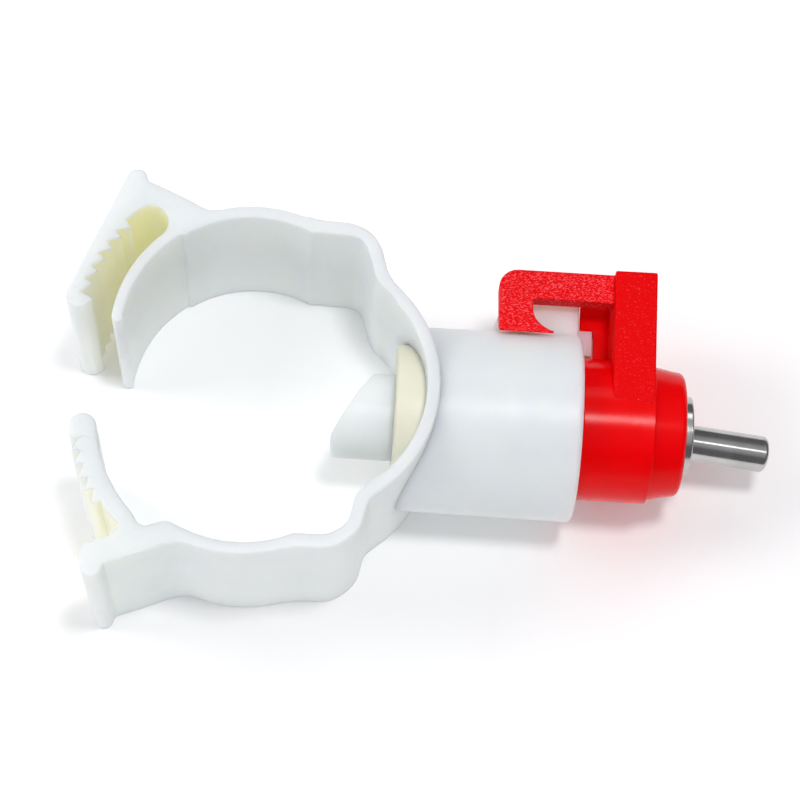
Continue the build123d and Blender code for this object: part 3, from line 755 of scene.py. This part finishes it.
# The block's outline is drawn as (y, z) and stands up along X.
latch_block = plate("nipple_latch_block", rounded(
    (8, BLOCK_FAR, 0), (LATCH_TOP, BLOCK_FAR, 0.25), (LATCH_TOP, BLOCK_NEAR, 0.25), (0.0, BLOCK_NEAR, 0.1),
    (0.0, 5.0, 0.1), (4.6, 5.0, 0), (4.6, BLOCK_FAR, 0.1), (8, BLOCK_FAR, 0),
), BLOCK_START, BLOCK_END, rim=0.2)
latch_block.data.transform(Matrix(((0, 0, 1, 0), (1, 0, 0, 0), (0, 1, 0, 0), (0, 0, 0, 1))))
for v in latch_block.data.vertices:
    if v.co.z > BLOCK_FACE * MM:
        v.co.z += BLOCK_LEAN * (v.co.x - BLOCK_START * MM)
dress(latch_block, RED_SCUFFED_PAINTED_GLINTS, "red_plastic", "nipple")
weighted(latch_block)

# ---- steel sleeve and trigger pin ------------------------------------------------------------------
MOUTH_NECK = 2.45  # the sleeve's narrowest place, where the pin leaves it
SLEEVE_END = 39.6
PIN_BALL = 2.7  # the pin's rounded head

sleeve = lathe("steel_sleeve", [
    (SLEEVE_START, 3.3), (30.7, 3.3), (30.7, 3.0), (32.3, 3.0), (33.95, MOUTH_NECK),
    (HEAD_END, 3.45), (39.45, 3.58), *rim_arc(39.48, 3.68, 0.1, 270, 360, 3),
    *rim_arc(SLEEVE_END - 0.2, SLEEVE_RADIUS - 0.2, 0.2, 0, 90),
    (36.63, SLEEVE_RADIUS), (36.63, 3.29), (35.77, 3.29), (35.77, SLEEVE_RADIUS),
    (SLEEVE_START, SLEEVE_RADIUS),
])
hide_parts("seat_sleeve")
dress(sleeve, STEEL_TURNED, "stainless_steel", "nipple")

# The pin is turned about its pivot as the origin, then leans in the sleeve.
ball = [polar((0, 0), PIN_BALL, a) for a in (100, 90, 80, 70, 60, 50, 44)]
pin = lathe("pin", [
    (-0.6, 0), (-0.6, 2.6), *ball, (2.1, PIN_RADIUS), (15.6, PIN_RADIUS),
    *rim_arc(15.7, PIN_RADIUS - 0.4, 0.4, 90, 0, 6), (PIN_LENGTH, 0),
], 96)
lean = Matrix.Rotation(math.radians(PIN_LEAN), 4, "Y") @ Matrix.Rotation(math.radians(-PIN_SIDE), 4, "Z")
pin.data.transform(Matrix.Translation((PIN_PIVOT * MM, 0, 0)) @ lean)
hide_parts("trigger_pin")
dress(pin, STEEL, "stainless_steel", "pin")

# ---- pieces that stay as the CAD has them -----------------------------------------------------------
for node, mat, slot in (
    ("body_o_ring", BLACK, "seal_rubber"), ("sleeve_o_ring", BLACK, "seal_rubber"),
    ("stem_seat", BLACK, "seal_rubber"), ("inlet_filter", NATURAL, "filter_plastic"),
    ("stem_guide", NATURAL, "filter_plastic"), ("valve_stem", STEEL_TURNED, "stainless_steel"),
):
    dress(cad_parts[node], mat, slot)

# ---- stage: floor, light and camera ------------------------------------------------------------------
FLOOR_HALF, FLOOR_GAP = 900, 0.02  # half its width, and how far it lies under the part

floor_mat, *_, floor_shader = material("pale_floor")
uniform(floor_shader, {
    "Base Color": (0.93, 0.93, 0.93, 1), "Emission Color": (1, 1, 1, 1), "Emission Strength": 0.14,
    "Roughness": 0.9, "Specular IOR Level": 0.1,
})
floor_bm = bmesh.new()
bmesh.ops.create_grid(floor_bm, x_segments=1, y_segments=1, size=FLOOR_HALF)
bmesh.ops.translate(floor_bm, vec=(0, 0, FLOOR - FLOOR_GAP), verts=floor_bm.verts)
floor = finish_mesh("floor", floor_bm)
floor.data.materials.append(floor_mat)


def softbox(name, place, aim, size, power):
    """A rectangular area light in watts, its place, aim and size in millimetres."""
    data = bpy.data.lights.new(name, "AREA")
    data.shape = "RECTANGLE"
    data.size, data.size_y = size[0] * MM, size[1] * MM
    data.energy = power
    lamp = bpy.data.objects.new(name, data)
    lamp.location = Vector(place) * MM
    lamp.rotation_euler = (Vector(aim) - Vector(place)).to_track_quat("-Z", "Y").to_euler()
    bpy.context.scene.collection.objects.link(lamp)


softbox("overhead", place=(62, 0, 480), aim=(15, 0, 0), size=(64, 64), power=0.78)
softbox("left", place=(-330, 60, 300), aim=(10, 0, 0), size=(200, 200), power=0.70)
softbox("front", place=(-120, -420, 90), aim=(10, 0, 0), size=(300, 90), power=0.34)
softbox("back", place=(60, 360, 380), aim=(10, 0, 0), size=(300, 150), power=0.25)
softbox("strip", place=(330, -20, 480), aim=(40, 0, 0), size=(60, 200), power=0.12)

# The sky is bright overhead and dim at the horizon, so that polished steel keeps dark edges.
world = bpy.data.worlds.new("studio")
world.use_nodes = True
sky, sky_links = world.node_tree.nodes, world.node_tree.links
sky_coords = sky.new("ShaderNodeTexCoord")
sky_split = sky.new("ShaderNodeSeparateXYZ")
sky_links.new(sky_coords.outputs["Generated"], sky_split.inputs["Vector"])
sky_tint = ramp(
    sky, sky_links, sky_split.outputs["Z"], (0.0, (0.12, 0.12, 0.13)), (0.60, (0.13, 0.13, 0.14)),
    (0.74, (0.34, 0.34, 0.36)), (1.0, (0.50, 0.51, 0.53)),
)
sky_links.new(sky_tint, sky["Background"].inputs["Color"])
uniform(sky["Background"], {"Strength": 1.2})
bpy.context.scene.world = world
bpy.context.scene.view_settings.view_transform = "Standard"

# The camera's place and axes, solved from the photo.
CAMERA_PLACE = Vector((4.663, -88.469, 255.836))
CAMERA_RIGHT = Vector((0.99799, 0.04992, 0.03880))
CAMERA_UP = Vector((-0.05998, 0.94153, 0.33155))
camera_data = bpy.data.cameras.new("camera")
camera_data.lens, camera_data.sensor_width = 120.27, 36.0
camera_data.clip_start, camera_data.clip_end = 0.01, 10
camera = bpy.data.objects.new("camera", camera_data)
axes = Matrix((CAMERA_RIGHT, CAMERA_UP, CAMERA_RIGHT.cross(CAMERA_UP))).transposed()
camera.matrix_world = Matrix.Translation(CAMERA_PLACE * MM) @ axes.to_4x4()
bpy.context.scene.collection.objects.link(camera)
bpy.context.scene.camera = camera
